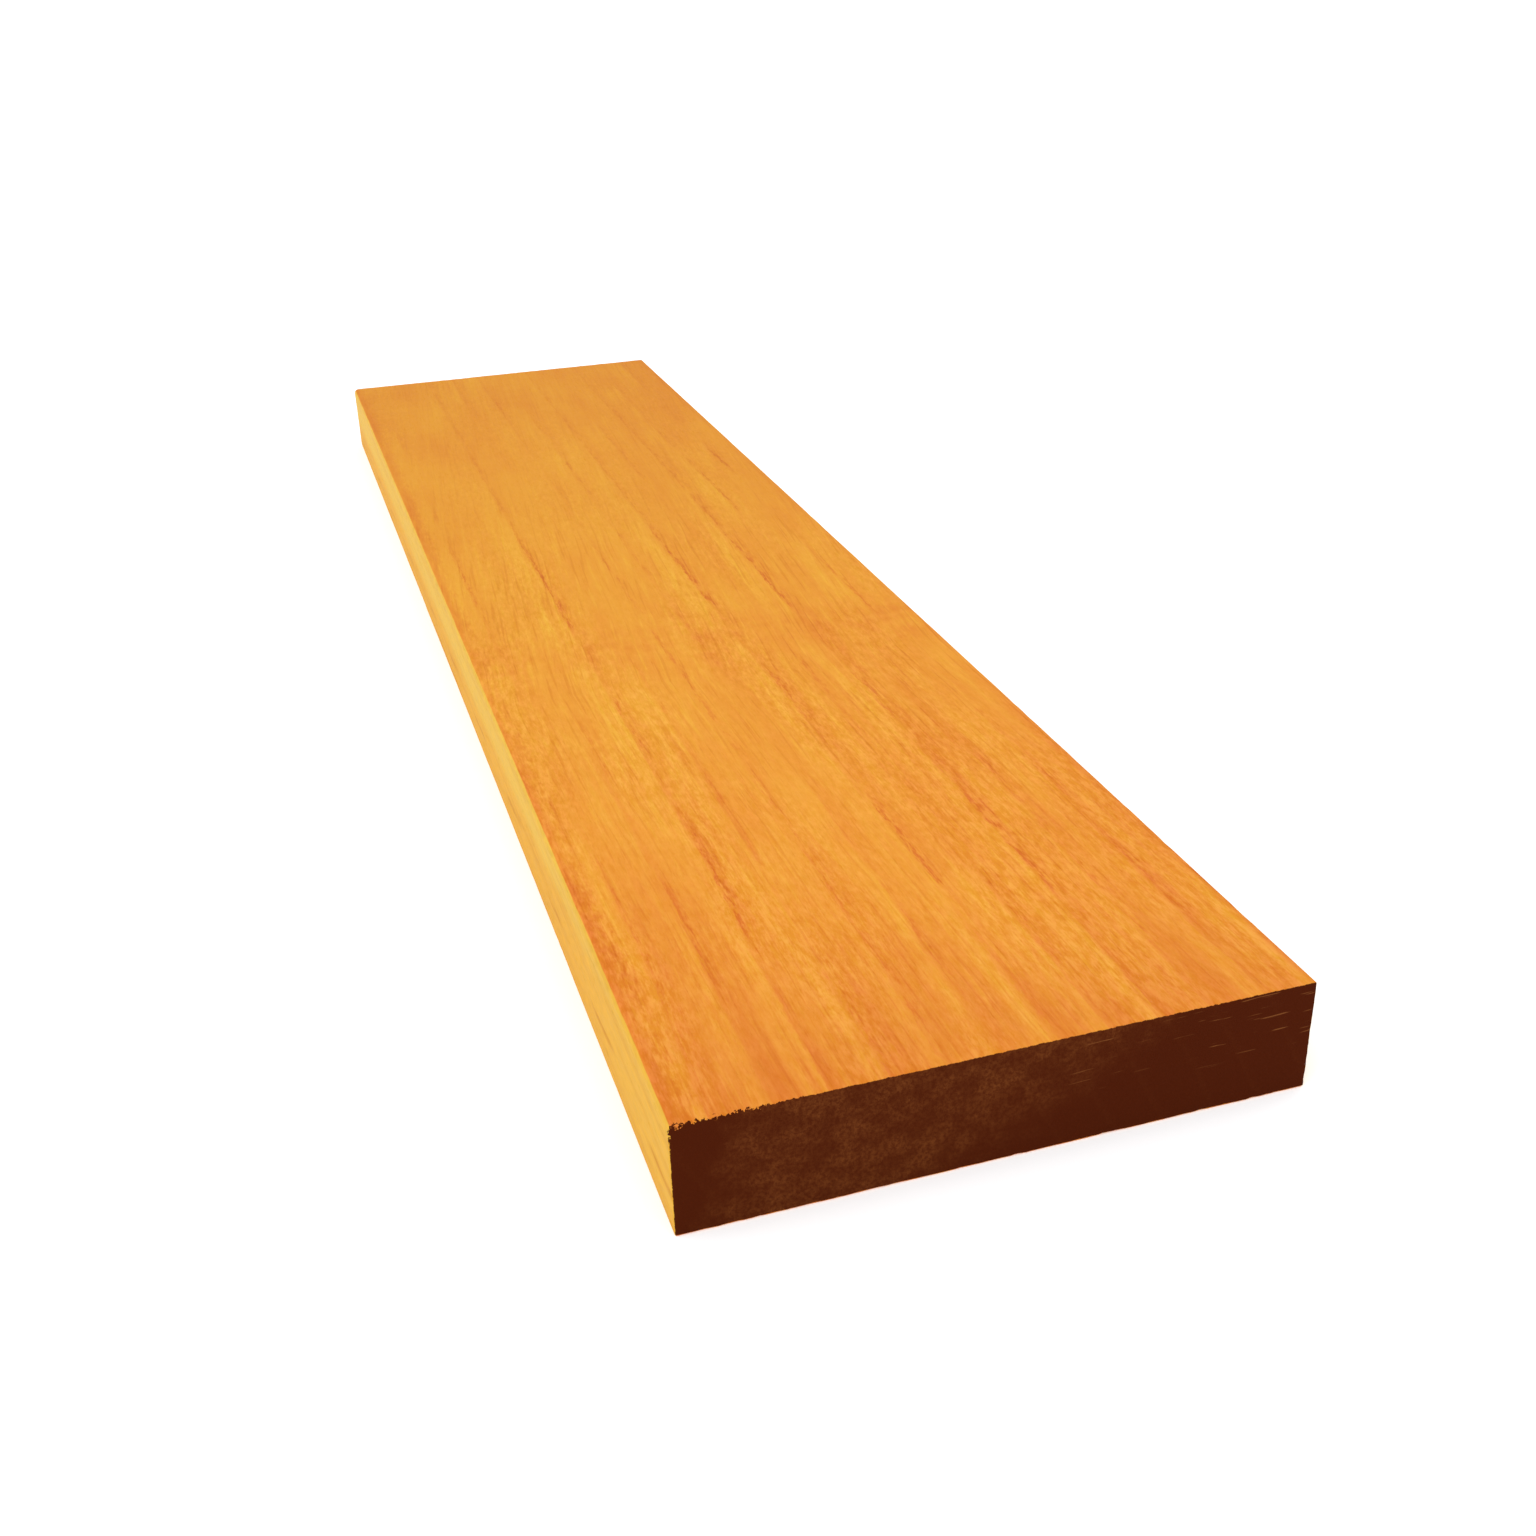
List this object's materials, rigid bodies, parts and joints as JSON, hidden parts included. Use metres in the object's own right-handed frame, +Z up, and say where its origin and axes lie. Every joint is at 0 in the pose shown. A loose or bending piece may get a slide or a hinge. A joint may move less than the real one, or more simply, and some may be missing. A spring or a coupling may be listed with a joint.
{
  "type": "hardwood board",
  "caption": "Straight planed board of solid hardwood with eased long edges and square-sawn ends, used as shelf, trim, panel or joinery stock.",
  "frame": {"origin": "middle of the underside, the face that the board lies on", "axes": "+X along the length and the grain, towards the dark end that faces the camera in the picture; +Y across the width, away from the pale long edge that the picture shows; +Z up through the thickness"},
  "size_m": [0.6, 0.145, 0.028],
  "materials": {
    "hardwood": "satin"
  },
  "bodies": {
    "root": {"board": "hardwood"}
  },
  "joints": []
}
